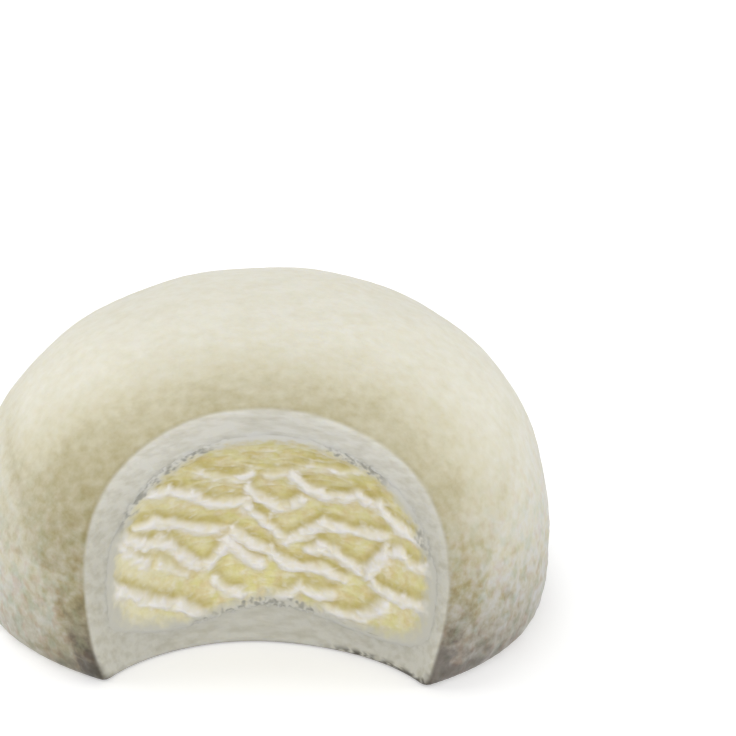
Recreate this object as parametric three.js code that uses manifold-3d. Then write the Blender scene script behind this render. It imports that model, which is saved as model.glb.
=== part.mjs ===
// A mochi ice cream with one bite out of its front: a soft rice dough skin round a vanilla filling.
// Millimetres, +Z up. The origin is the middle of the flat underside, on the dome's axis.
// The bitten side faces -Y.

import * as THREE from 'three';
import { mergeVertices } from 'three/addons/utils/BufferGeometryUtils.js';
import Module from 'manifold-3d';

const wasm = await Module();
wasm.setup();

// The dough's outside. Its profile is a superellipse above and another below the widest ring, at the
// height 'waist', and the lower one is cut off flat where the dough rests.
const dough = {
  radius: 25,
  waist: 5.75,
  rise: 21.35,
  upperPower: 2.34,
  fall: 12,
  lowerPower: 3.2,
  floor: 0,
};

// The hollow that the filling lies in, a little off the middle, so that the skin is thicker at -X. Its
// floor is pressed up in the middle, by one wave of this height and length.
const skinBase = 3.1;
const hollow = {
  radius: 22.8,
  waist: 5.75,
  rise: 19,
  upperPower: 2,
  fall: 5.75 - skinBase,
  lowerPower: 5,
  floor: skinBase,
};
const hollowShift = 1;
const floorWave = { height: 0.75, length: 18 };
const seam = 0.3;

// Hand-rolled unevenness: two and three swells round the dome, a slight lean and low bumps all over.
const swells = [
  { count: 2, size: 0.015, turn: -1 },
  { count: 3, size: 0.015, turn: -2.6 },
];
const lean = 0.32;
const bumps = [
  { size: 0.05, waves: [0.52, 0.21, 0.33], start: 1.3 },
  { size: 0.04, waves: [-0.27, 0.58, 0.41], start: 0.4 },
  { size: 0.03, waves: [0.71, -0.49, 0.62], start: 2.6 },
];
const bumpFreeHeight = 3;

// The bite: in plan an arc that opens out towards the top, and from the side a shallow hollow.
const bite = {
  middle: -0.55,
  back: -12,
  radius: 15.4,
  opening: 0.42,
  slope: 0.16,
  bow: 0.0125,
  front: -40,
};
const skinReach = { left: -20, right: 19, bottom: -2, top: 30 };
const fillingReach = { left: -15, right: 15, bottom: 2, top: 21.5 };

// The torn filling lies a little behind the skin's cut, and wavy crests stand up on it.
const recess = 0.45;
const crestDepth = 0.75;
const crestWidth = 0.65;

// The crests, from the top down. Each is a wavy line through points (x, z) of the bitten face, that
// hangs between two of them by this share of their distance, and stands up by its strength.
const crestSag = 0.06;
const crests = [
  { strength: 0.6, line: [[-5.8, 16.9], [-2.7, 15.9], [-1.3, 16.7]] },
  { strength: 0.5, line: [[0, 16.3], [3.8, 17.8], [7.5, 17.6]] },
  { strength: 1, line: [[2.4, 16.4], [4.5, 14.8], [7.8, 15.2], [9.4, 14.6], [10.9, 13.1], [12.9, 12.5]] },
  { strength: 0.9, line: [[-10.3, 15.7], [-8.4, 15.5], [-6.4, 14.7], [-4.3, 13.5], [-1.6, 13.8]] },
  { strength: 0.9, line: [[-1.5, 14.8], [0.4, 13.5], [1.9, 13.3], [3.1, 14.1]] },
  { strength: 1, line: [[-11.3, 12.5], [-9.8, 12.7], [-8.4, 12.2], [-3.9, 10.9]] },
  { strength: 1, line: [[-1.7, 13.3], [0.5, 11.1], [1.7, 9.7], [4.8, 11.9], [9.9, 11.8]] },
  { strength: 0.7, line: [[-12.8, 11.4], [-10.5, 8.8]] },
  { strength: 0.9, line: [[-12.2, 11.9], [-10.8, 10.8]] },
  {
    strength: 1,
    line: [[-10.4, 10.5], [-9.3, 10.6], [-8.3, 9.9],
      [-5.6, 7.3], [-3.4, 9.6], [-0.3, 7.4]],
  },
  { strength: 1, line: [[-2.8, 10.5], [0.6, 8.6], [1.5, 7.6], [4.7, 7.5], [6.6, 6.6]] },
  {
    strength: 1,
    line: [[3.7, 9.1], [4.8, 9.5], [5.9, 9.2], [8.5, 7.8],
      [10, 10.3], [11.2, 10.5], [12.7, 9.7], [14.1, 10.6]],
  },
  { strength: 0.6, line: [[-9.2, 8.5], [-7, 6.9]] },
  { strength: 1, line: [[9.2, 6.9], [10.7, 6.3], [13.6, 6.6]] },
  { strength: 1, line: [[-13.4, 7.6], [-11.6, 6.2], [-7.6, 4.2], [-5.3, 2.9]] },
  { strength: 0.9, line: [[-4.4, 5.8], [-2.2, 4.4]] },
  { strength: 0.8, line: [[1.2, 4.4], [2.9, 5.4], [5.6, 5.1]] },
  { strength: 0.9, line: [[5.1, 3.6], [8.4, 3.7], [9.9, 5.2]] },
];

// How finely the surfaces are divided.
const doughSteps = { round: 84, floor: 0, lower: 5, upper: 17 };
const hollowSteps = { round: 60, floor: 4, lower: 5, upper: 11 };
const skinCutSteps = { across: 30, up: 22 };
const fillingCutSteps = { across: 60, up: 50 };

// A dome's profile, from the middle of its underside, out to its widest ring and in to its top.
function domeProfile(form, steps) {
  const share = Math.min((form.waist - form.floor) / form.fall, 1);
  const edge = Math.asin(share ** (form.lowerPower / 2));
  const lower = [];
  for (let i = steps.lower; i > 0; i -= 1) {
    const angle = (edge * i) / steps.lower;
    const out = form.radius * Math.cos(angle) ** (2 / form.lowerPower);
    const down = form.fall * Math.sin(angle) ** (2 / form.lowerPower);
    if (out > 0.01) lower.push(new THREE.Vector2(out, form.waist - down));
  }
  const points = [];
  for (let i = 0; i <= steps.floor; i += 1) {
    const out = (lower[0].x * i) / (steps.floor + 1);
    points.push(new THREE.Vector2(out, form.floor));
  }
  points.push(...lower);
  for (let i = 0; i < steps.upper; i += 1) {
    const angle = (Math.PI / 2) * (i / steps.upper);
    const out = form.radius * Math.cos(angle) ** (2 / form.upperPower);
    const up = form.rise * Math.sin(angle) ** (2 / form.upperPower);
    points.push(new THREE.Vector2(out, form.waist + up));
  }
  points.push(new THREE.Vector2(0, form.waist + form.rise));
  return points;
}

function domeGeometry(form, steps) {
  return new THREE.LatheGeometry(domeProfile(form, steps), steps.round).rotateX(Math.PI / 2);
}

// Moves every corner of a geometry to where 'place' says.
function reshape(geometry, place) {
  const position = geometry.attributes.position;
  const corner = new THREE.Vector3();
  for (let i = 0; i < position.count; i += 1) {
    corner.fromBufferAttribute(position, i);
    place(corner);
    position.setXYZ(i, corner.x, corner.y, corner.z);
  }
  return geometry;
}

// The hand-rolled dough leans and swells, and its bumps fade out towards the flat underside.
function makeUneven(corner) {
  const around = Math.atan2(corner.y, corner.x);
  let stretch = 1;
  for (const swell of swells) stretch += swell.size * Math.cos(swell.count * around - swell.turn);
  let bump = 0;
  for (const { size, waves, start } of bumps) {
    bump += size * Math.sin(corner.x * waves[0] + corner.y * waves[1] + corner.z * waves[2] + start);
  }
  bump *= THREE.MathUtils.smoothstep(corner.z, 0, bumpFreeHeight);
  const outwards = new THREE.Vector3(corner.x, corner.y, corner.z - dough.waist).normalize();
  const height = dough.waist + dough.rise;
  corner.x = corner.x * stretch + lean * (corner.z / height) ** 2 + outwards.x * bump;
  corner.y = corner.y * stretch + outwards.y * bump;
  corner.z += outwards.z * bump;
}

// The hollow, or the filling in it: a dome with a wave in its floor, moved off the middle.
function hollowGeometry(form) {
  const dome = reshape(domeGeometry(form, hollowSteps), (corner) => {
    const share = THREE.MathUtils.clamp((form.waist - corner.z) / (form.waist - form.floor), 0, 1);
    corner.z += share * floorWave.height * Math.cos((2 * Math.PI * corner.x) / floorWave.length);
  });
  return dome.translate(hollowShift, 0, 0);
}

// Where the bite's surface lies: everything in front of this y is bitten away.
function biteSurface(x, z) {
  const radius = bite.radius + bite.opening * z;
  const arc = Math.sqrt(Math.max(radius * radius - (x - bite.middle) ** 2, 0.01));
  return bite.back - radius + arc + bite.slope * z - bite.bow * z * z;
}

// How far the torn filling stands up at a point of the bitten face, as a share of crestDepth.
function crestShare(x, z) {
  let share = 0;
  for (const { strength, line } of crests) {
    for (let i = 1; i < line.length; i += 1) {
      const [startX, startZ] = line[i - 1];
      const [endX, endZ] = line[i];
      const sag = crestSag * Math.hypot(endX - startX, endZ - startZ);
      const along = THREE.MathUtils.clamp((x - startX) / (endX - startX), 0, 1);
      const height = startZ + (endZ - startZ) * along - 4 * sag * along * (1 - along);
      const slope = (endZ - startZ - 4 * sag * (1 - 2 * along)) / (endX - startX);
      const aside = x - startX - (endX - startX) * along;
      const away = Math.hypot(aside, (z - height) / Math.hypot(1, slope)) / crestWidth;
      share = Math.max(share, strength * Math.exp(-away * away));
    }
  }
  return share;
}

function fillingSurface(x, z) {
  return biteSurface(x, z) + recess - crestDepth * crestShare(x, z);
}

// The block of air that a bite takes away. Only its back face is shaped.
function biteBlock(surface, steps, reach) {
  const width = reach.right - reach.left;
  const height = reach.top - reach.bottom;
  const block = new THREE.BoxGeometry(width, -bite.front, height, steps.across, 1, steps.up);
  block.translate(reach.left + width / 2, bite.front / 2, reach.bottom + height / 2);
  return reshape(block, (corner) => {
    if (corner.y > bite.front / 2) corner.y = surface(corner.x, corner.z);
  });
}

// A closed geometry as a solid: shared corners are merged, and triangles without area are dropped.
function solidFrom(geometry) {
  geometry.deleteAttribute('normal');
  geometry.deleteAttribute('uv');
  const merged = mergeVertices(geometry, 1e-4);
  const index = merged.index.array;
  const triangles = [];
  for (let i = 0; i < index.length; i += 3) {
    const [a, b, c] = [index[i], index[i + 1], index[i + 2]];
    if (a !== b && b !== c && c !== a) triangles.push(a, b, c);
  }
  const vertProperties = new Float32Array(merged.attributes.position.array);
  const triVerts = new Uint32Array(triangles);
  return new wasm.Manifold(new wasm.Mesh({ numProp: 3, vertProperties, triVerts }));
}

function namedMesh(name, solid, material) {
  const { vertProperties, triVerts } = solid.getMesh();
  const geometry = new THREE.BufferGeometry();
  geometry.setAttribute('position', new THREE.BufferAttribute(new Float32Array(vertProperties), 3));
  geometry.setIndex(new THREE.BufferAttribute(new Uint32Array(triVerts), 1));
  geometry.computeVertexNormals();
  const mesh = new THREE.Mesh(geometry, material);
  mesh.name = name;
  return mesh;
}

// The dough skin: the uneven dome, less the hollow for the filling and the bite.
function mochiSkin() {
  const dome = solidFrom(reshape(domeGeometry(dough, doughSteps), makeUneven));
  const inside = solidFrom(hollowGeometry(hollow));
  const bitten = solidFrom(biteBlock(biteSurface, skinCutSteps, skinReach));
  const dustedDough = new THREE.MeshStandardMaterial({ color: 0xdcd8c4, roughness: 0.85 });
  return namedMesh('mochi_skin', dome.subtract(inside).subtract(bitten), dustedDough);
}

// The ice cream: the hollow's shape, smaller by the seam all round, with the torn face of the bite.
function iceCream() {
  const form = {
    ...hollow,
    radius: hollow.radius - seam,
    rise: hollow.rise - seam,
    fall: hollow.fall - seam,
    floor: hollow.floor + seam,
  };
  const whole = solidFrom(hollowGeometry(form));
  const torn = solidFrom(biteBlock(fillingSurface, fillingCutSteps, fillingReach));
  const vanilla = new THREE.MeshStandardMaterial({ color: 0xddd3a4, roughness: 0.6 });
  return namedMesh('ice_cream', whole.subtract(torn), vanilla);
}

const mochi = new THREE.Group();
mochi.add(mochiSkin(), iceCream());

export default mochi;
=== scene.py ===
import math

import bmesh
import bpy
import numpy as np
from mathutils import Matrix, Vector, noise


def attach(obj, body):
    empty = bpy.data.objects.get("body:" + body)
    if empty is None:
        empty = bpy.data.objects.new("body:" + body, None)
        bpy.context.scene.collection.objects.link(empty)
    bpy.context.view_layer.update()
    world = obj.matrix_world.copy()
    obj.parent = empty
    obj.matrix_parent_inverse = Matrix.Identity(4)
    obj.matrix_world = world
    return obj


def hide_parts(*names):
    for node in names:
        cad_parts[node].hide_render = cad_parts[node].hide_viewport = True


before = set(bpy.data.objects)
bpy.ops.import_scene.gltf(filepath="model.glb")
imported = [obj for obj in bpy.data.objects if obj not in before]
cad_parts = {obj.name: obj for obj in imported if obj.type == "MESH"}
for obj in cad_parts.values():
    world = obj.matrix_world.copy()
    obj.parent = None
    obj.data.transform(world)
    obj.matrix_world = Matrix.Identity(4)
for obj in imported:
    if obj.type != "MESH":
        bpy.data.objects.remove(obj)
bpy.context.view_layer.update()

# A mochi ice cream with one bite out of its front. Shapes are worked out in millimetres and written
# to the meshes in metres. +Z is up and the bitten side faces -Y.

mm = 0.001

# The outline of the dough, the hollow in it and the bite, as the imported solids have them.
dough = {
    "radius": 25, "waist": 5.75, "rise": 21.35, "upperPower": 2.34,
    "fall": 12, "lowerPower": 3.2, "shift": 0, "floorWave": 0,
    "footRounding": 0.7,       # how softly the side turns under where the dough rests
}
hollow = {
    "radius": 22.8, "waist": 5.75, "rise": 19, "upperPower": 2,
    "fall": 2.65, "lowerPower": 5, "shift": 1, "floorWave": 0.75, "waveLength": 18,
}
unevenness = {
    "swells": [(2, 0.015, -1), (3, 0.015, -2.6)],      # count round the dome, size, turn
    "lean": 0.32,
    "bumps": [
        (0.05, (0.52, 0.21, 0.33), 1.3),               # size, waves along X, Y and Z, start
        (0.04, (-0.27, 0.58, 0.41), 0.4),
        (0.03, (0.71, -0.49, 0.62), 2.6),
    ],
    "bumpFreeHeight": 3,
}
bite = {
    "middle": -0.55, "back": -12, "radius": 15.4, "opening": 0.42, "slope": 0.16, "bow": 0.0125,
    "middleX": 0.5, "middleZ": 9.5,                    # the line along Y that the rings run round
    "rimRounding": 0.8,                                # the soft outer edge of the bitten skin
    "lipRounding": 0.15,                               # its inner edge, beside the filling
}

seamGaps = [(115, 168), (38, 68), (6, 22), (-135, -52)]    # in degrees round the bitten face
crowding = 1.4                                         # rings inside the part stand closer to the bite


def smoothStep(value, low, high):
    share = np.clip((value - low) / (high - low), 0, 1)
    return share * share * (3 - 2 * share)


def softMax(first, second, width):                     # the larger distance, with a rounded corner
    blend = np.maximum(width - np.abs(first - second), 0) / width
    return np.maximum(first, second) + blend * blend * width / 4


def domeDistance(points, form):                        # roughly how far outside a squashed dome, in mm
    x = points[:, 0] - form["shift"]
    out = np.hypot(x, points[:, 1]) / form["radius"]
    up = points[:, 2] - form["waist"]
    if form["floorWave"]:                              # the hollow's floor is pressed up in the middle
        wave = form["floorWave"] * np.cos(2 * math.pi * x / form["waveLength"])
        up = up - wave * np.clip(-up / form["fall"], 0, 1)
    power = np.where(up > 0, form["upperPower"], form["lowerPower"])
    height = np.abs(up) / np.where(up > 0, form["rise"], form["fall"])
    return ((out ** power + height ** power) ** (1 / power) - 1) * form["radius"] * 0.9


def biteDepth(x, z):                                   # what lies in front of this y is bitten away
    radius = bite["radius"] + bite["opening"] * z
    arc = np.sqrt(np.maximum(radius * radius - (x - bite["middle"]) ** 2, 0.01))
    return bite["back"] - radius + arc + bite["slope"] * z - bite["bow"] * z * z


def biteDistance(points):
    x, y, z = points.T
    radius = bite["radius"] + bite["opening"] * z
    aside = x - bite["middle"]
    steepness = np.abs(aside) / np.sqrt(np.maximum(radius * radius - aside * aside, 0.1))
    return (biteDepth(x, z) - y) / np.hypot(1, np.minimum(steepness, 3))


def doughDistance(points):                             # the whole dome, before the bite
    return softMax(domeDistance(points, dough), -points[:, 2], dough["footRounding"])


def hollowDistance(points):
    return domeDistance(points, hollow)


def skinDistance(points):
    bitten = softMax(doughDistance(points), biteDistance(points), bite["rimRounding"])
    return softMax(bitten, -hollowDistance(points), bite["lipRounding"])


def settle(points, distance):                          # moves points onto the surface where distance is 0
    step = 0.02
    for _ in range(5):
        slopes = [(distance(points + step * axis) - distance(points - step * axis)) for axis in np.eye(3)]
        slope = np.stack(slopes, axis=1) / (2 * step)
        steepness = np.maximum((slope ** 2).sum(axis=1), 0.2)
        points = points - (distance(points) / steepness)[:, None] * slope
    return points


def crossing(pointAt, distance, furthest):             # how far out each line leaves a solid
    near, far = np.zeros(furthest.shape), furthest.copy()
    for _ in range(30):
        middle = (near + far) / 2
        outside = distance(pointAt(middle)) > 0
        near, far = np.where(outside, near, middle), np.where(outside, middle, far)
    return far


def onBite(theta, out):                                # a point of the bitten face, by turn and distance
    x = bite["middleX"] + out * np.cos(theta)
    z = bite["middleZ"] + out * np.sin(theta)
    return np.stack([x, biteDepth(x, z), z], axis=1)


def edgeOnBite(theta, distance):
    beyond = np.full(theta.shape, 32.0)                # past every edge on the bitten face
    return crossing(lambda out: onBite(theta, out), distance, beyond)


def onForm(theta, tilt, distance):                     # a point of a solid's outside, by turn and tilt
    middle = np.array([bite["middleX"], 0, bite["middleZ"]])
    towards = np.stack([np.sin(tilt) * np.cos(theta), -np.cos(tilt), np.sin(tilt) * np.sin(theta)], axis=1)
    beyond = np.full(theta.shape, 60.0)                # past the back of the part
    reach = crossing(lambda out: middle + out[:, None] * towards, distance, beyond)
    return middle + reach[:, None] * towards


def inGaps(theta):                                     # 1 where the filling came away from the skin
    turn = np.degrees(theta)
    return sum(smoothStep(turn, low - 4, low + 8) * (1 - smoothStep(turn, high - 8, high + 4))
               for low, high in seamGaps)


def tiltOf(points):
    out = np.hypot(points[:, 0] - bite["middleX"], points[:, 2] - bite["middleZ"])
    return np.arctan2(out, -points[:, 1])


def makeUneven(points):                                # the same hand-rolled swells, lean and bumps
    x, y, z = points.T
    around = np.arctan2(y, x)
    stretch = 1 + sum(size * np.cos(count * around - turn) for count, size, turn in unevenness["swells"])
    waves = [(size, points @ np.array(wave) + start) for size, wave, start in unevenness["bumps"]]
    bump = sum(size * np.sin(wave) for size, wave in waves)
    bump = bump * smoothStep(z, 0, unevenness["bumpFreeHeight"])
    outwards = points - np.array([0, 0, dough["waist"]])
    outwards = outwards / np.maximum(np.linalg.norm(outwards, axis=1), 0.1)[:, None]
    lean = unevenness["lean"] * (z / (dough["waist"] + dough["rise"])) ** 2
    return np.stack([x * stretch + lean, y * stretch, z], axis=1) + outwards * bump[:, None]


# Noise of about -1 to 1 with blobs of that size in mm. Each use has a shift of its own, so that no two
# patterns fall together.
def noiseAt(points, size, octaves, shift):
    places = points / size + shift
    return np.array([noise.fractal(Vector(place), 0.9, 2.0, octaves) for place in places])


def ringedBall(around, rings):                         # a ball of rings that the pieces then place
    ball = bmesh.new()
    bmesh.ops.create_grid(ball, x_segments=around, y_segments=rings, size=0.5)
    for vert in ball.verts:
        theta, tilt = (vert.co.x + 0.5) * 2 * math.pi, (vert.co.y + 0.5) * math.pi
        vert.co = (math.sin(tilt) * math.cos(theta), math.sin(tilt) * math.sin(theta), math.cos(tilt))
    sides = [vert for vert in ball.verts if vert.is_boundary]
    bmesh.ops.remove_doubles(ball, verts=sides, dist=1e-5)
    places = np.array([vert.co[:] for vert in ball.verts])
    theta = np.arctan2(places[:, 1], places[:, 0])
    ring = np.rint(np.arccos(np.clip(places[:, 2], -1, 1)) / math.pi * rings)
    return ball, theta, ring


def moveVerts(ball, points):
    for vert, point in zip(ball.verts, points):
        vert.co = Vector(point) * mm
    bmesh.ops.recalc_face_normals(ball, faces=ball.faces)
    ball.normal_update()


def normalsOf(ball):
    return np.array([vert.normal[:] for vert in ball.verts])


def finishPiece(name, ball, attributes, material, node):
    mesh = bpy.data.meshes.new(name)
    ball.to_mesh(mesh)
    ball.free()
    mesh.shade_smooth()
    for label, values in attributes.items():
        layer = mesh.attributes.new(label, "FLOAT", "POINT")
        layer.data.foreach_set("value", values.astype(np.float32))
    mesh.materials.append(material)
    piece = bpy.data.objects.new(name, mesh)
    bpy.context.scene.collection.objects.link(piece)
    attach(piece, "root")
    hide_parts(node)


# Materials

def fromHex(text):                                     # an sRGB hex colour as linear values
    channels = [int(text[i:i + 2], 16) / 255 for i in (1, 3, 5)]
    linear = [c / 12.92 if c <= 0.04045 else ((c + 0.055) / 1.055) ** 2.4 for c in channels]
    return (*linear, 1)


def addNode(tree, kind, settings=None, **inputs):
    node = tree.nodes.new(kind)
    for name, value in (settings or {}).items():
        setattr(node, name, value)
    for name, value in inputs.items():
        socket = node.inputs[int(name[1:])] if name[1:].isdigit() else node.inputs[name.replace("_", " ")]
        if isinstance(value, bpy.types.NodeSocket):
            tree.links.new(value, socket)
        else:
            socket.default_value = value
    return node


def perMetre(size):                                    # a noise scale that gives blobs of this size in mm
    return 1 / (size * mm)


def newMaterial(name):
    material = bpy.data.materials.new(name)
    material.use_nodes = True
    tree = material.node_tree
    tree.nodes.clear()
    shader = addNode(tree, "ShaderNodeBsdfPrincipled")
    addNode(tree, "ShaderNodeOutputMaterial", Surface=shader.outputs["BSDF"])
    place = addNode(tree, "ShaderNodeTexCoord").outputs["Object"]
    return material, tree, shader, place


# Steamed glutinous rice dough, kneaded, rolled and dusted with potato starch: dull and slightly
# translucent. The starch whitens the top evenly and clings to the sides in grains and patches, and
# the bare dough between them is olive to brown; it is also painted darker as shade round the bite,
# low down and at the foot. Starch grains are too fine to show, so the dust is drawn as coarse as it
# needs to be.
doughFinish = {
    # the two darkest dough colours are bare dough and painted shade
    "dirtAndShade": "#5E5342", "bareAndShaded": "#A79C71", "thinlyDusted": "#D2CCB0", "dusted": "#E6E3D2",
    "frost": "#D8D8D5", "shadedFrost": "#98938F",        # the starch that stands on it in grains, and that starch painted greyer in the shade
    # the lower cut colour is painted shade, and the speck colour is painted shade in crevices and at the foot
    "cut": "#ECEAE0", "cutShadedLow": "#D2D0C4", "streak": "#DEDBD0", "shadeSpeck": "#4F4A3F",
    "rosy": "#F1DCD2", "green": "#DDEAE0", "tintShare": 0.8,
    "mottle": 2.6, "grain": 0.9, "dust": 0.35,         # the size of each pattern, in mm
    "rosyPatch": 1.1, "greenPatch": 1.3, "streakHeight": 0.7,
    "grainShare": 0.6, "streakShare": 0.6,
    "bareShadeDust": 0.45, "bareShadeFrost": 0.4,                # how much of each is gone where the dough is bare and where it is painted in shade
    "leftFrost": 1.1, "rightFrost": 1.7, "mostFrost": 0.9,
    "byHeight": {                                      # lowest and highest mm, and the values there
        "contrast": (3, 20, 1.0, 0.5),                 # of the dusty patches
        "coverAndShade": (0, 20, 0.84, 0.95),                  # how much dust there is; less of it low down is partly painted shade
        "footShade": (0.3, 2.5, 0.1, 0.0),                  # painted shade at the very foot, drawn as less dust
        "leastFrost": (0.5, 9, 0.5, 0.0),
        "clinging": (3, 19, 0.8, 0.1),                 # how much frost and tint shows
    },
    "relief": 0.4, "reliefDepth": 0.12,                # the grains' bump, and its depth in mm
    "roughness": 0.85, "specular": 0.3, "powderSheen": 0.28, "sheenRoughness": 0.5,
    "translucency": 0.3, "depth": 1.2,                 # how far light sinks in, in mm
}


def cutColourWithShade(tree, height):                           # bitten dough, painted paler above and darker near its base as shade
    upwards = addNode(
        tree, "ShaderNodeMapRange", {"interpolation_type": "SMOOTHSTEP"},
        Value=height, From_Min=10 * mm, From_Max=23 * mm, To_Min=0.0, To_Max=1.0,
    )
    return addNode(
        tree, "ShaderNodeMix", {"data_type": "RGBA"},
        _0=upwards.outputs[0], _6=fromHex(doughFinish["cutShadedLow"]), _7=fromHex(doughFinish["cut"]),
    ).outputs[2]


def makeDoughMaterial():
    finish = doughFinish
    material, tree, shader, place = newMaterial("glutinousRiceDough")
    across, _, height = addNode(tree, "ShaderNodeSeparateXYZ", Vector=place).outputs
    bareAndShaded = addNode(tree, "ShaderNodeAttribute", {"attribute_name": "bareAndShaded"}).outputs["Fac"]
    cut = addNode(tree, "ShaderNodeAttribute", {"attribute_name": "cut"}).outputs["Fac"]
    shadeSpecks = addNode(tree, "ShaderNodeAttribute", {"attribute_name": "shadeSpecks"}).outputs["Fac"]
    byHeight = {}
    for name, (low, high, below, above) in finish["byHeight"].items():
        byHeight[name] = addNode(
            tree, "ShaderNodeMapRange", {"interpolation_type": "SMOOTHSTEP"},
            Value=height, From_Min=low * mm, From_Max=high * mm, To_Min=below, To_Max=above,
        ).outputs[0]

    # The dust: patches and grains of it, thinner where the bite's edge was handled, and thinner as painted
    # shade.
    smeared = addNode(tree, "ShaderNodeMapping", Vector=place, Scale=(0.9, 0.9, 1.15)).outputs[0]
    mottle = addNode(tree, "ShaderNodeTexNoise", Vector=smeared, Scale=perMetre(finish["mottle"]), Detail=3.0)
    grain = addNode(tree, "ShaderNodeTexNoise", Vector=smeared, Scale=perMetre(finish["grain"]), Detail=3.0)
    dust = addNode(tree, "ShaderNodeTexNoise", Vector=place, Scale=perMetre(finish["dust"]), Detail=2.0)
    blend = addNode(
        tree, "ShaderNodeMix", {"data_type": "FLOAT"},
        _0=finish["grainShare"], _2=mottle.outputs["Fac"], _3=grain.outputs["Fac"],
    )
    patches = addNode(tree, "ShaderNodeMath", {"operation": "SUBTRACT"}, _0=blend.outputs[0], _1=0.5)
    wornAndShaded = addNode(
        tree, "ShaderNodeMath", {"operation": "MULTIPLY_ADD"},
        _0=bareAndShaded, _1=finish["bareShadeDust"], _2=byHeight["footShade"],
    )
    left = addNode(
        tree, "ShaderNodeMath", {"operation": "SUBTRACT"}, _0=byHeight["coverAndShade"], _1=wornAndShaded.outputs[0],
    )
    dustAndShade = addNode(
        tree, "ShaderNodeMath", {"operation": "MULTIPLY_ADD", "use_clamp": True},
        _0=patches.outputs[0], _1=byHeight["contrast"], _2=left.outputs[0],
    )
    outside = addNode(tree, "ShaderNodeValToRGB", Fac=dustAndShade.outputs[0])
    ramp = outside.color_ramp
    ramp.elements[0].color = fromHex(finish["dirtAndShade"])
    ramp.elements[1].color = fromHex(finish["dusted"])
    ramp.elements.new(0.35).color = fromHex(finish["bareAndShaded"])
    ramp.elements.new(0.68).color = fromHex(finish["thinlyDusted"])

    # The frost: whiter grains low on the sides, more of them towards the right.
    frosting = addNode(
        tree, "ShaderNodeMapRange", Value=patches.outputs[0], From_Min=-0.12, From_Max=0.14,
        To_Min=byHeight["leastFrost"], To_Max=finish["mostFrost"],
    )
    toRight = addNode(
        tree, "ShaderNodeMapRange", Value=across, From_Min=-20 * mm, From_Max=16 * mm,
        To_Min=finish["leftFrost"], To_Max=finish["rightFrost"],
    )
    frostLeft = addNode(
        tree, "ShaderNodeMath", {"operation": "MULTIPLY_ADD"},
        _0=bareAndShaded, _1=-finish["bareShadeFrost"], _2=toRight.outputs[0],
    )
    clinging = addNode(
        tree, "ShaderNodeMath", {"operation": "MULTIPLY"}, _0=byHeight["clinging"], _1=frostLeft.outputs[0],
    )
    frostShare = addNode(
        tree, "ShaderNodeMath", {"operation": "MULTIPLY"}, _0=frosting.outputs[0], _1=clinging.outputs[0],
    )
    frost = addNode(                                   # frost is painted greyer where there is less dust, where the dough is bare and in its painted shade
        tree, "ShaderNodeMix", {"data_type": "RGBA"},
        _0=dustAndShade.outputs[0], _6=fromHex(finish["shadedFrost"]), _7=fromHex(finish["frost"]),
    )
    tinted = addNode(
        tree, "ShaderNodeMix", {"data_type": "RGBA"},
        _0=frostShare.outputs[0], _6=outside.outputs["Color"], _7=frost.outputs[2],
    ).outputs[2]
    for name, size in (("rosy", "rosyPatch"), ("green", "greenPatch")):
        patch = addNode(tree, "ShaderNodeTexNoise", Vector=place, Scale=perMetre(finish[size]), Detail=2.0)
        strength = addNode(
            tree, "ShaderNodeMapRange",
            Value=patch.outputs["Fac"], From_Min=0.5, From_Max=0.68, To_Min=0.0, To_Max=finish["tintShare"],
        )
        share = addNode(
            tree, "ShaderNodeMath", {"operation": "MULTIPLY"},
            _0=strength.outputs[0], _1=byHeight["clinging"],
        )
        tinted = addNode(
            tree, "ShaderNodeMix", {"data_type": "RGBA", "blend_type": "MULTIPLY"},
            _0=share.outputs[0], _6=tinted, _7=fromHex(finish[name]),
        ).outputs[2]

    # The bitten dough: faint streaks from kneading, and dark specks of painted shade in its crevices, at the
    # bite's ends and under the cut.
    drawn = addNode(tree, "ShaderNodeMapping", Vector=place, Scale=(0.3, 1.0, 1.0)).outputs[0]
    streaks = addNode(
        tree, "ShaderNodeTexNoise", Vector=drawn, Scale=perMetre(finish["streakHeight"]), Detail=3.0,
    )
    kneaded = addNode(
        tree, "ShaderNodeMapRange",
        Value=streaks.outputs["Fac"], From_Min=0.4, From_Max=0.7, To_Min=0.0, To_Max=finish["streakShare"],
    )
    inside = addNode(
        tree, "ShaderNodeMix", {"data_type": "RGBA", "blend_type": "MULTIPLY"},
        _0=kneaded.outputs[0], _6=cutColourWithShade(tree, height), _7=fromHex(finish["streak"]),
    )
    beforeShadeSpecks = addNode(
        tree, "ShaderNodeMix", {"data_type": "RGBA"}, _0=cut, _6=tinted, _7=inside.outputs[2],
    )
    colour = addNode(
        tree, "ShaderNodeMix", {"data_type": "RGBA"},
        _0=shadeSpecks, _6=beforeShadeSpecks.outputs[2], _7=fromHex(finish["shadeSpeck"]),
    )
    grains = addNode(
        tree, "ShaderNodeMath", {"operation": "ADD"}, _0=grain.outputs["Fac"], _1=dust.outputs["Fac"],
    )
    bump = addNode(
        tree, "ShaderNodeBump",
        Height=grains.outputs[0], Strength=finish["relief"], Distance=finish["reliefDepth"] * mm,
    )
    tree.links.new(colour.outputs[2], shader.inputs["Base Color"])
    tree.links.new(bump.outputs[0], shader.inputs["Normal"])
    shader.inputs["Roughness"].default_value = finish["roughness"]
    shader.inputs["Specular IOR Level"].default_value = finish["specular"]
    shader.inputs["Subsurface Weight"].default_value = finish["translucency"]
    shader.inputs["Subsurface Scale"].default_value = finish["depth"] * mm
    shader.inputs["Subsurface Radius"].default_value = (1.0, 0.85, 0.5)
    shader.inputs["Sheen Weight"].default_value = finish["powderSheen"]
    shader.inputs["Sheen Roughness"].default_value = finish["sheenRoughness"]
    return material


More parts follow.
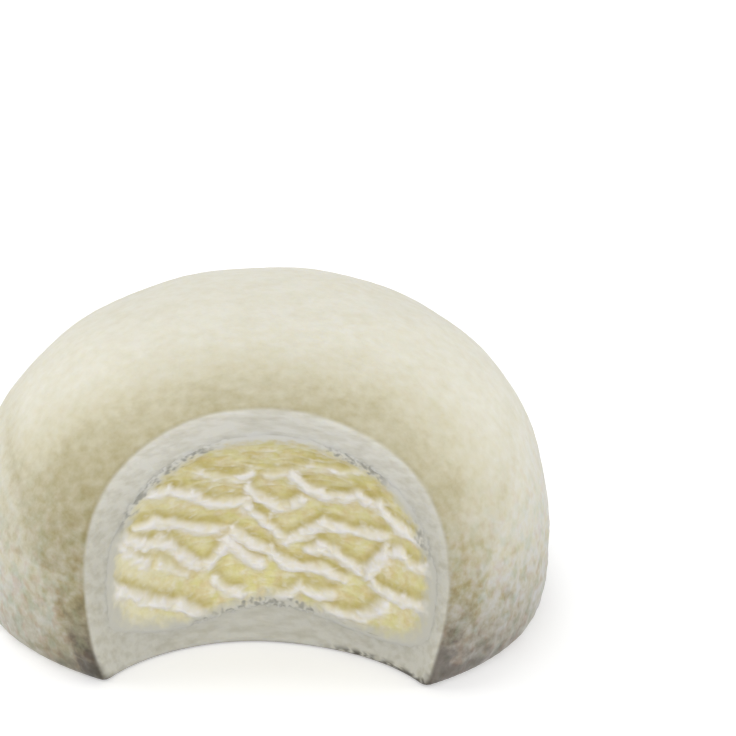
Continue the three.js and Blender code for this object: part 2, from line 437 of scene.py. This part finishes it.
# Vanilla ice cream, churned with air and torn by the bite: yellow in the valleys, and nearly white on
# the crests, where the torn edges are thin and full of air; that white is also a painted highlight.
# The bubbles are drawn coarser than real ones, which are too fine to show.
iceFinish = {
    # the groove colour is painted shade just above the crests and under the top of the arch
    "grooveShade": "#C3B466", "valley": "#E6DF9C", "custard": "#E3D29B", "cream": "#F2ECC8",
    # the crest colour is the white of thin, airy edges and a painted highlight
    "crestWhiteAndHighlight": "#F9F5EF", "gapAndShade": "#A9A79C",
    "swirl": 1.4, "curd": 0.8, "airBubbles": 0.3,      # the size of each pattern, in mm
    "creamShare": 0.75, "leftCreamShare": 0.75,        # it is whiter towards the left of the bite
    "relief": 0.35, "reliefDepth": 0.1,                # the bubbles' bump, and its depth in mm
    "roughness": 0.55, "specular": 0.35,
    "translucency": 0.35, "depth": 1.4,                # how far light sinks in, in mm
}


def makeIceMaterial():
    finish = iceFinish
    material, tree, shader, place = newMaterial("vanillaIceCream")
    across, _, height = addNode(tree, "ShaderNodeSeparateXYZ", Vector=place).outputs
    swirl = addNode(tree, "ShaderNodeTexNoise", Vector=place, Scale=perMetre(finish["swirl"]), Detail=3.0)
    curd = addNode(tree, "ShaderNodeTexNoise", Vector=place, Scale=perMetre(finish["curd"]), Detail=3.0)
    bubbles = addNode(
        tree, "ShaderNodeTexNoise", Vector=place, Scale=perMetre(finish["airBubbles"]), Detail=2.0,
    )
    stirred = addNode(
        tree, "ShaderNodeMapRange",
        Value=swirl.outputs["Fac"], From_Min=0.4, From_Max=0.6, To_Min=0.0, To_Max=1.0,
    )
    yellow = addNode(
        tree, "ShaderNodeMix", {"data_type": "RGBA"},
        _0=stirred.outputs[0], _6=fromHex(finish["valley"]), _7=fromHex(finish["custard"]),
    )
    creamy = addNode(
        tree, "ShaderNodeMapRange",
        Value=curd.outputs["Fac"], From_Min=0.4, From_Max=0.7, To_Min=0.0, To_Max=finish["creamShare"],
    )
    paler = addNode(
        tree, "ShaderNodeMapRange", {"interpolation_type": "SMOOTHSTEP"}, Value=across,
        From_Min=-13 * mm, From_Max=-4 * mm, To_Min=finish["leftCreamShare"], To_Max=0.0,
    )
    creaminess = addNode(
        tree, "ShaderNodeMath", {"operation": "ADD", "use_clamp": True},
        _0=creamy.outputs[0], _1=paler.outputs[0],
    )
    base = addNode(
        tree, "ShaderNodeMix", {"data_type": "RGBA"},
        _0=creaminess.outputs[0], _6=yellow.outputs[2], _7=fromHex(finish["cream"]),
    )
    layers = base.outputs[2]
    for name in ("grooveShade", "crestWhiteAndHighlight"):
        there = addNode(tree, "ShaderNodeAttribute", {"attribute_name": name}).outputs["Fac"]
        layers = addNode(
            tree, "ShaderNodeMix", {"data_type": "RGBA"}, _0=there, _6=layers, _7=fromHex(finish[name]),
        ).outputs[2]
    melted = addNode(tree, "ShaderNodeAttribute", {"attribute_name": "melted"}).outputs["Fac"]
    gapAndShade = addNode(tree, "ShaderNodeAttribute", {"attribute_name": "gapAndShade"}).outputs["Fac"]
    edged = addNode(
        tree, "ShaderNodeMix", {"data_type": "RGBA"}, _0=melted, _6=layers, _7=cutColourWithShade(tree, height),
    )
    # painted shade in the gaps beside the skin
    colour = addNode(
        tree, "ShaderNodeMix", {"data_type": "RGBA"}, _0=gapAndShade, _6=edged.outputs[2], _7=fromHex(finish["gapAndShade"]),
    )
    bump = addNode(
        tree, "ShaderNodeBump",
        Height=bubbles.outputs["Fac"], Strength=finish["relief"], Distance=finish["reliefDepth"] * mm,
    )
    tree.links.new(colour.outputs[2], shader.inputs["Base Color"])
    tree.links.new(bump.outputs[0], shader.inputs["Normal"])
    shader.inputs["Roughness"].default_value = finish["roughness"]
    shader.inputs["Specular IOR Level"].default_value = finish["specular"]
    shader.inputs["Subsurface Weight"].default_value = finish["translucency"]
    shader.inputs["Subsurface Scale"].default_value = finish["depth"] * mm
    shader.inputs["Subsurface Radius"].default_value = (1.0, 0.9, 0.6)
    return material


# The dough skin: rings from its back, over the dome to the bite's rim, across the bitten edge, and
# back round the hollow.
skin = {
    "around": 380, "backRings": 172, "shoulderRings": 22, "edgeRings": 24, "hollowRings": 24,
    "shoulder": 0.12,                                  # tilt of the finely ringed strip beside the rim
    "lowRoughness": 0.16, "highRoughness": 0.03,       # how deep the pits between dusty lumps are, in mm
    "lumpSize": 1.3, "roughBelow": 14,
    "cutRoughness": 0.03, "cutGrain": 0.6,
    "bareShadeWidth": 9, "bareShadeWidthAbove": 13,              # where the dust is off and the dough is painted in shade, beside the bite
    "bareShadeLean": 0.2,                                   # how much wider that is low on the right
    "bareShadeStrength": 0.9, "lowBareShade": 0.75,                      # how much, and how much more low down
    "lowRightBareShade": 0.1,
    "footShadeByBite": 0.42, "footHeight": 6,                 # painted shade low down beside the table, near the bite
    "footWidth": 10, "footRightWidth": 1,
    "footEdgeSize": 1.2, "footEdgeReach": 2.2,               # the ragged upper edge of that
    "leftShade": 0.55, "leftShadeTurn": 163,                 # an olive patch of painted shade left of the bite
    "leftShadeReach": 22, "leftShadeOut": 5, "leftShadeWidth": 5,
    "tipShade": 0.6, "tipHeight": 2.4, "tipWidth": 4,      # painted shade at the bite's ends, beside the table
    # painted shade in the crevices where the filling came away
    "crevicesAndShade": 0.35, "creviceDepth": 0.05, "creviceSize": 0.5,
    # the size of the specks of painted shadow under the cut
    "shadowSpeckSize": 0.5,
}


def dustWornOffAndShade(points, theta, raggedHeight):          # how bare the dough is, with painted shade beside the bite, low down and at the foot
    height = points[:, 2]
    fromBite = -biteDistance(points)
    lowDown = 1 - smoothStep(height, 2, 12)
    width = skin["bareShadeWidth"] + (skin["bareShadeWidthAbove"] - skin["bareShadeWidth"]) * smoothStep(height, 14, 24)
    width = width * (1 + skin["bareShadeLean"] * np.cos(theta) * lowDown)
    bareAndShaded = 1 - smoothStep(fromBite / width, 0, 1)
    bareAndShaded = bareAndShaded * (skin["bareShadeStrength"] + (skin["lowBareShade"] + skin["lowRightBareShade"] * np.cos(theta)) * lowDown)
    aside = (np.degrees(theta) - skin["leftShadeTurn"]) / skin["leftShadeReach"]
    further = (fromBite - skin["leftShadeOut"]) / skin["leftShadeWidth"]
    bareAndShaded = bareAndShaded + skin["leftShade"] * np.exp(-aside ** 2 - further ** 2)
    footWidth = skin["footWidth"] + skin["footRightWidth"] * np.cos(theta)
    nearBite = 1 - smoothStep(fromBite / footWidth, 0, 1)
    return bareAndShaded + skin["footShadeByBite"] * ((1 - smoothStep(raggedHeight, 0, skin["footHeight"])) * nearBite)


def paintedTipShade(points, raggedHeight):                    # painted shade at the ends of the bite, beside the table
    nearBite = 1 - smoothStep(-biteDistance(points), 0.5, skin["tipWidth"])
    tipShade = (1 - smoothStep(raggedHeight, 0, skin["tipHeight"])) * nearBite
    tipShade = tipShade * (1.6 - 0.6 * smoothStep(points[:, 2], 0.3, 1.8))
    tipShade = tipShade * (1 - smoothStep(-doughDistance(points), 0.2, 0.8))
    return tipShade * smoothStep(np.abs(points[:, 0] - bite["middle"]), 11.5, 14.5)


def shadowSpecksUnderCut(points, cut):                           # specks of painted shadow under the right end of the cut
    shadowUnderCut = (1 - smoothStep(points[:, 2], 0.35, 0.95)) * smoothStep(points[:, 0], 4, 8) * cut
    return shadowUnderCut * smoothStep(noiseAt(points, skin["shadowSpeckSize"], 3, 91.3), -0.25, 0.15)


def makeSkin():
    rings = [skin[name] for name in ("backRings", "shoulderRings", "edgeRings", "hollowRings")]
    backRing, rimRing, lipRing, lastRing = np.cumsum(rings)
    ball, theta, ring = ringedBall(skin["around"], int(lastRing))
    rim = edgeOnBite(theta, doughDistance)
    lip = edgeOnBite(theta, hollowDistance)
    rimTilt = tiltOf(onBite(theta, rim))
    lipTilt = tiltOf(onBite(theta, lip))
    backTilt = math.pi + (rimTilt + skin["shoulder"] - math.pi) * np.minimum(ring / backRing, 1)
    nearRim = np.clip((ring - backRing) / skin["shoulderRings"], 0, 1)
    outer = onForm(theta, backTilt - skin["shoulder"] * nearRim, doughDistance)
    acrossEdge = np.clip((ring - rimRing) / skin["edgeRings"], 0, 1)
    edge = onBite(theta, rim + (lip - rim) * acrossEdge)
    inwards = np.clip((ring - lipRing) / skin["hollowRings"], 0, 1) ** crowding
    inner = onForm(theta, lipTilt + (math.pi - lipTilt) * inwards, hollowDistance)
    points = np.where((ring <= rimRing)[:, None], outer, edge)
    points = np.where((ring > lipRing)[:, None], inner, points)
    points = settle(points, skinDistance)
    print("skin rings placed")

    onOutside = np.abs(doughDistance(points)) < 0.12
    cut = smoothStep(-doughDistance(points), 0.05, 0.3)
    onLip = inGaps(theta) * (1 - smoothStep(hollowDistance(points), 0.1, 0.7)) * (ring <= lipRing)
    # the crevices are cut in and painted with shade
    crevicesAndShade = smoothStep(noiseAt(points, skin["creviceSize"], 2, 33.1), -0.1, 0.6) * onLip
    raggedHeight = points[:, 2] + skin["footEdgeReach"] * noiseAt(points, skin["footEdgeSize"], 3, 47.7)
    # bare dough, and painted shade beside the bite, low down and at the foot
    bareAndShaded = dustWornOffAndShade(points, theta, raggedHeight)
    # specks of painted shade: in the crevices, at the bite's ends and under the cut
    shadeSpecks = skin["crevicesAndShade"] * crevicesAndShade + skin["tipShade"] * paintedTipShade(points, raggedHeight)
    shadeSpecks = np.clip(shadeSpecks + shadowSpecksUnderCut(points, cut), 0, 1)
    print("skin wear and specks placed")

    points = makeUneven(points)
    moveVerts(ball, points)
    outside = np.where(onOutside, 1.0, 0.0) * smoothStep(points[:, 2], 0.1, 1.2)
    lumps = noiseAt(points, skin["lumpSize"], 2, 7.3)
    low = 1 - smoothStep(points[:, 2], 3, skin["roughBelow"])
    roughness = skin["highRoughness"] + (skin["lowRoughness"] - skin["highRoughness"]) * low
    kneaded = cut * skin["cutRoughness"] * noiseAt(points, skin["cutGrain"], 3, 15.7)
    kneaded = kneaded - skin["creviceDepth"] * crevicesAndShade
    points = points + normalsOf(ball) * (lumps * roughness * outside + kneaded)[:, None]
    moveVerts(ball, points)
    print("skin relief made")
    attributes = {"cut": cut, "bareAndShaded": bareAndShaded, "shadeSpecks": shadeSpecks}
    finishPiece("mochiSkin", ball, attributes, makeDoughMaterial(), "mochi_skin")


# The filling: rings from the middle of the torn face out to the skin, and back round the inside.
filling = {
    "around": 560, "faceRings": 140, "sideRings": 22,
    "overlap": 0.5, "recess": 0.4,
    "crestDepth": 0.7, "crestWidth": 0.52, "colourWidth": 0.64,
    "wander": 0.18, "wanderSize": 1.1,
    "swelling": 0.35, "swellingSize": 1.8,             # crests are thick in places and thin in others
    "breaks": 0.4, "breakSize": 1.5,
    "rippleDepth": 0.1, "rippleSize": 1.0,             # fine wavy lines between the crests
    "rippleWidth": 0.16, "rippleStretch": 0.22, "rippleWhite": 0.25,
    "curdDepth": 0.1, "curdSize": 0.6, "curdWhite": 0.3,
    "curdStretch": 0.55,                               # curds are drawn out sideways
    "topShade": 0.3,                                   # it is darker under the top of the arch
    "gapWidth": 0.7, "gapDepth": 0.06,                 # where it came away from the skin
}

# The crests, from the top down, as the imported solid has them: how strongly each stands up, and the
# points (x, z) of the bitten face that its wavy line hangs between.
crestSag = 0.06
crests = [
    (0.6, [(-5.8, 16.9), (-2.7, 15.9), (-1.3, 16.7)]),
    (0.5, [(0, 16.3), (3.8, 17.8), (7.5, 17.6)]),
    (1, [(2.4, 16.4), (4.5, 14.8), (7.8, 15.2), (9.4, 14.6), (10.9, 13.1), (12.9, 12.5)]),
    (0.9, [(-10.3, 15.7), (-8.4, 15.5), (-6.4, 14.7), (-4.3, 13.5), (-1.6, 13.8)]),
    (0.9, [(-1.5, 14.8), (0.4, 13.5), (1.9, 13.3), (3.1, 14.1)]),
    (1, [(-11.3, 12.5), (-9.8, 12.7), (-8.4, 12.2), (-3.9, 10.9)]),
    (1, [(-1.7, 13.3), (0.5, 11.1), (1.7, 9.7), (4.8, 11.9), (9.9, 11.8)]),
    (0.7, [(-12.8, 11.4), (-10.5, 8.8)]),
    (0.9, [(-12.2, 11.9), (-10.8, 10.8)]),
    (1, [(-10.4, 10.5), (-9.3, 10.6), (-8.3, 9.9), (-5.6, 7.3), (-3.4, 9.6), (-0.3, 7.4)]),
    (1, [(-2.8, 10.5), (0.6, 8.6), (1.5, 7.6), (4.7, 7.5), (6.6, 6.6)]),
    (1, [(3.7, 9.1), (4.8, 9.5), (5.9, 9.2), (8.5, 7.8),
        (10, 10.3), (11.2, 10.5), (12.7, 9.7), (14.1, 10.6)]),
    (0.6, [(-9.2, 8.5), (-7, 6.9)]),
    (1, [(9.2, 6.9), (10.7, 6.3), (13.6, 6.6)]),
    (1, [(-13.4, 7.6), (-11.6, 6.2), (-7.6, 4.2), (-5.3, 2.9)]),
    (0.9, [(-4.4, 5.8), (-2.2, 4.4)]),
    (0.8, [(1.2, 4.4), (2.9, 5.4), (5.6, 5.1)]),
    (0.9, [(5.1, 3.6), (8.4, 3.7), (9.9, 5.2)]),
]


def crestShare(x, z, width):                           # 1 on a crest's line and 0 in the valleys
    share = np.zeros(x.shape)
    for strength, line in crests:
        for (startX, startZ), (endX, endZ) in zip(line, line[1:]):
            sag = crestSag * math.hypot(endX - startX, endZ - startZ)
            along = np.clip((x - startX) / (endX - startX), 0, 1)
            height = startZ + (endZ - startZ) * along - 4 * sag * along * (1 - along)
            slope = (endZ - startZ - 4 * sag * (1 - 2 * along)) / (endX - startX)
            aside = x - startX - (endX - startX) * along
            away = np.hypot(aside, (z - height) / np.hypot(1, slope)) / width
            share = np.maximum(share, strength * np.exp(-away * away))
    return share


def makeFilling():
    ringEnd = filling["faceRings"]
    ball, theta, ring = ringedBall(filling["around"], ringEnd + filling["sideRings"])
    overlap = filling["overlap"]                       # its edge is smeared over the skin's
    form = {**hollow, "radius": hollow["radius"] + overlap, "rise": hollow["rise"] + overlap,
            "fall": hollow["fall"] + overlap}

    def formDistance(points):
        return domeDistance(points, form)

    edge = edgeOnBite(theta, formDistance)
    out = edge * np.minimum(ring / ringEnd, 1)
    face = onBite(theta, out)
    wander = filling["wander"]
    x = face[:, 0] + wander * noiseAt(face, filling["wanderSize"], 2, 3.1)
    z = face[:, 2] + wander * noiseAt(face, filling["wanderSize"], 2, 11.7)
    swelling = 1 + filling["swelling"] * noiseAt(face, filling["swellingSize"], 2, 41.9)
    breaks = 1 - filling["breaks"] * smoothStep(noiseAt(face, filling["breakSize"], 2, 53.3), 0.2, 0.7)
    share = crestShare(x, z, filling["crestWidth"] * swelling) * breaks
    curds = noiseAt(face * (filling["curdStretch"], 1, 1), filling["curdSize"], 3, 5.9)
    rippleNoise = noiseAt(face * (filling["rippleStretch"], 1, 1), filling["rippleSize"], 2, 61.7)
    ripples = np.exp(-(rippleNoise / filling["rippleWidth"]) ** 2)
    ripples = ripples * (0.4 + 0.6 * smoothStep(face[:, 2], 12, 16))
    print("crests and curds drawn")

    fromEdge = edge - out - overlap
    ragged = filling["gapWidth"] * (0.7 + 1.3 * noiseAt(face, 0.6, 2, 21.3))
    # where the filling came away: drawn in and painted with shade
    gapAndShade = inGaps(theta) * (1 - smoothStep(fromEdge, 0.5 * ragged, ragged + 0.1)) * smoothStep(ragged, 0, 0.3)
    gapAndShade = gapAndShade * smoothStep(noiseAt(face, 0.5, 2, 81.9), -0.4, 0.4)
    inset = filling["recess"] - filling["crestDepth"] * share - filling["curdDepth"] * curds
    inset = inset - filling["rippleDepth"] * ripples
    atEdge = smoothStep(fromEdge, 0, 1.2)
    under = 1 - smoothStep(fromEdge, -overlap, -0.1)   # its rim slips under the surface of the skin's cut
    face[:, 1] += inset * atEdge - 0.03 * (1 - atEdge) + 0.07 * under + filling["gapDepth"] * gapAndShade
    edgeTilt = tiltOf(onBite(theta, edge))
    backwards = np.clip((ring - ringEnd) / filling["sideRings"], 0, 1) ** crowding
    side = onForm(theta, edgeTilt + (math.pi - edgeTilt) * backwards, formDistance)
    onFace = ring <= ringEnd
    moveVerts(ball, makeUneven(np.where(onFace[:, None], face, side)))
    print("filling torn")

    white = crestShare(x, z, filling["colourWidth"] * swelling) * breaks
    # the white of the crests, curds and ripples, which on the crests is also a painted highlight
    whiteAndHighlight = smoothStep(white, 0.1, 0.85) + filling["curdWhite"] * smoothStep(curds, 0.1, 0.8)
    whiteAndHighlight = whiteAndHighlight + filling["rippleWhite"] * ripples
    # painted shade just above each crest and under the top of the arch
    grooveShading = crestShare(x, z - 0.8, 0.6) + filling["topShade"] * smoothStep(face[:, 2], 13, 18)
    lowDown = 1 - smoothStep(face[:, 2], 3, 9)
    soaked = fromEdge + 0.5 * noiseAt(face, 0.8, 3, 71.1)
    attributes = {
        "crestWhiteAndHighlight": np.where(onFace, np.clip(whiteAndHighlight * (0.85 + 0.3 * curds), 0, 1), 0),
        "grooveShade": np.where(onFace, np.clip(grooveShading * (0.8 + 0.4 * curds), 0, 1), 0),
        "melted": np.where(onFace, 1 - smoothStep(soaked, 0, 1.1 + 0.8 * lowDown), 1),
        "gapAndShade": np.where(onFace, gapAndShade, 0),
    }
    finishPiece("iceCreamFilling", ball, attributes, makeIceMaterial(), "ice_cream")


# A plain white table under soft studio light.
studio = {"tableSize": 3.0, "table": "#E6E6E6", "tableGlow": 0.5, "world": 0.45}
lamps = [                                              # place, size in metres, watts
    ((-0.1, 0.15, 0.5), 0.3, 0.84),
    ((-0.1, -0.3, 0.45), 0.25, 0.31),
    ((0.04, -0.5, 0.03), 0.25, 1.2),
    ((-0.42, 0.05, 0.12), 0.25, 0.62),
    ((0.42, 0.0, 0.07), 0.25, 0.83),
]


def makeStudio():
    table = bmesh.new()
    bmesh.ops.create_grid(table, x_segments=2, y_segments=2, size=studio["tableSize"] / 2)
    mesh = bpy.data.meshes.new("whiteTable")
    table.to_mesh(mesh)
    table.free()
    material, _, shader, _ = newMaterial("whiteLaminate")
    shader.inputs["Base Color"].default_value = fromHex(studio["table"])
    shader.inputs["Roughness"].default_value = 0.9
    shader.inputs["Specular IOR Level"].default_value = 0.0
    shader.inputs["Emission Color"].default_value = fromHex(studio["table"])
    shader.inputs["Emission Strength"].default_value = studio["tableGlow"]
    mesh.materials.append(material)
    floor = bpy.data.objects.new("whiteTable", mesh)
    floor.visible_diffuse = False                      # the lit table shows white and throws no glare upwards
    bpy.context.scene.collection.objects.link(floor)
    for index, (place, size, watts) in enumerate(lamps):
        light = bpy.data.lights.new(f"softbox{index}", "AREA")
        light.size = size
        light.energy = watts
        lamp = bpy.data.objects.new(f"softbox{index}", light)
        lamp.location = place
        lamp.rotation_euler = (-Vector(place)).to_track_quat("-Z", "Y").to_euler()
        bpy.context.scene.collection.objects.link(lamp)
    world = bpy.data.worlds.new("studioWalls")
    world.use_nodes = True
    world.node_tree.nodes["Background"].inputs["Color"].default_value = (1, 1, 1, 1)
    world.node_tree.nodes["Background"].inputs["Strength"].default_value = studio["world"]
    bpy.context.scene.world = world
    bpy.context.scene.view_settings.view_transform = "Standard"
    print("table, lamps and walls set up")


# The photograph's view: its scale, and where the middle of the underside falls in the picture.
view = {
    "pixels": 736, "pixelsPerMm": 11.293, "originX": 263.7, "originY": 583.7,
    "elevation": 26, "distance": 600, "sensor": 36,
}


def makeCamera():
    tilt = math.radians(view["elevation"])
    back = Vector((0, -math.cos(tilt), math.sin(tilt)))
    up = Vector((0, math.sin(tilt), math.cos(tilt)))
    toRight = (view["pixels"] / 2 - view["originX"]) / view["pixelsPerMm"]
    upwards = (view["originY"] - view["pixels"] / 2) / view["pixelsPerMm"]
    target = Vector((toRight, 0, 0)) + up * upwards
    data = bpy.data.cameras.new("camera")
    data.sensor_width = view["sensor"]
    data.lens = view["sensor"] * view["distance"] * view["pixelsPerMm"] / view["pixels"]
    camera = bpy.data.objects.new("camera", data)
    camera.location = back * view["distance"] * mm
    camera.rotation_euler = (target * mm - camera.location).to_track_quat("-Z", "Y").to_euler()
    bpy.context.scene.collection.objects.link(camera)
    bpy.context.scene.camera = camera
    print("camera placed")


makeCamera()
makeStudio()
makeSkin()
makeFilling()
